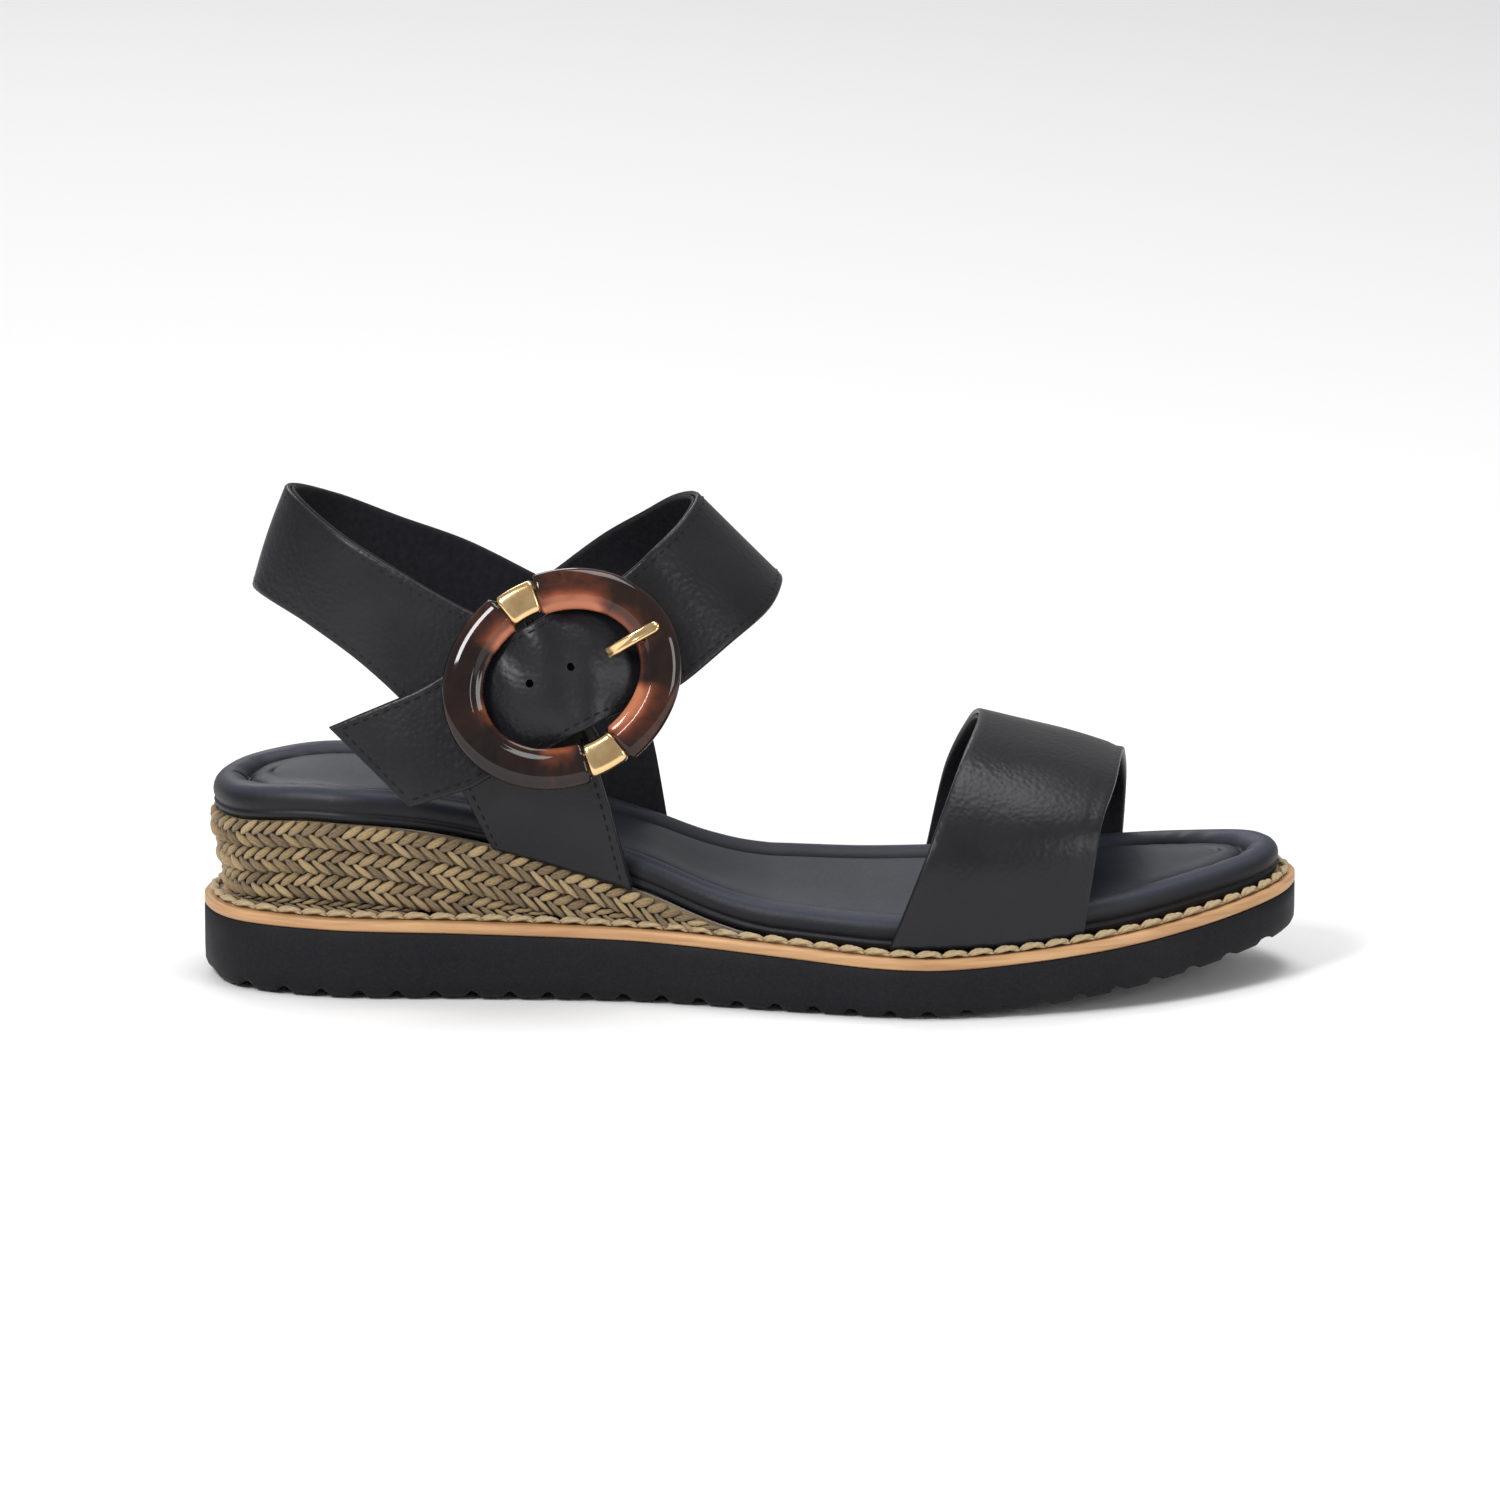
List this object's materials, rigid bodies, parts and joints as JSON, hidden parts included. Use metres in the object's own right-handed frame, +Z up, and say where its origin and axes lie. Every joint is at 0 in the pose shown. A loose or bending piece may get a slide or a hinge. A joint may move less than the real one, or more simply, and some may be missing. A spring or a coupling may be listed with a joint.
{
  "type": "wedge sandal",
  "caption": "Right wedge sandal: rippled sole, stitched welt, jute-braided wedge, padded footbed, toe strap, and an ankle strap with an oval resin ring buckle.",
  "frame": {"origin": "on the ground, under the middle of the sole's outline", "axes": "+X to the toe, +Z up, the outer (little toe) side at -Y"},
  "size_m": [0.262, 0.0926, 0.1187],
  "materials": {
    "sole": "fine matte moulded foam rubber, near black",
    "welt": "smooth tan welting strip",
    "thread": "thick twisted tan cord",
    "jute": "braided natural jute, herringbone plait",
    "core": "firm moulded foam",
    "board": "pressed fibre board",
    "foam": "soft foam",
    "footbed_leather": "matte blue-black leather over padding",
    "leather": "black grained leather, soft sheen",
    "lining": "black smooth lining leather",
    "resin": "glossy tortoiseshell resin, dark brown with amber patches",
    "gold": "polished gold-coloured metal"
  },
  "bodies": {
    "root": {"outsole": "sole", "welt": "welt", "sole_filler": "core", "welt_thread": "thread", "wedge_core": "core", "braid_row_1": "jute", "braid_row_2": "jute", "braid_row_3": "jute", "braid_row_4": "jute", "insole_board": "board", "footbed_foam": "foam", "footbed_cover": "footbed_leather", "vamp_lining": "lining", "vamp_outer": "leather", "lateral_quarter_lining": "lining", "lateral_quarter_outer": "leather", "medial_quarter_lining": "lining", "medial_quarter_outer": "leather", "heel_strap_lining": "lining", "heel_strap_outer": "leather", "instep_strap_lining": "lining", "instep_strap_outer": "leather", "bar_loop_upper": "leather", "bar_loop_lower": "leather"},
    "buckle": {"buckle_ring": "resin", "clip_upper": "gold", "clip_lower": "gold", "buckle_bar": "gold"},
    "prong": {"prong": "gold"},
    "strap_end": {"strap_free_end": "leather"}
  },
  "joints": [
    {"name": "buckle_rock", "type": "hinge", "parent": "root", "child": "buckle", "pos_m": [-0.0443, -0.03156, 0.0789], "axis": [-0.4848, 0.2557, 0.8364], "range_deg": [-2, 2], "stiffness_Nm_per_rad": 0.05},
    {"name": "prong_lift", "type": "hinge", "parent": "buckle", "child": "prong", "pos_m": [-0.0443, -0.03156, 0.0789], "axis": [0.4848, -0.2557, -0.8364], "range_deg": [0, 8]},
    {"name": "strap_end_lift", "type": "hinge", "parent": "root", "child": "strap_end", "pos_m": [-0.07201, -0.03488, 0.06565], "axis": [-0.4848, 0.2557, 0.8364], "range_deg": [0, 35], "stiffness_Nm_per_rad": 0.01}
  ]
}
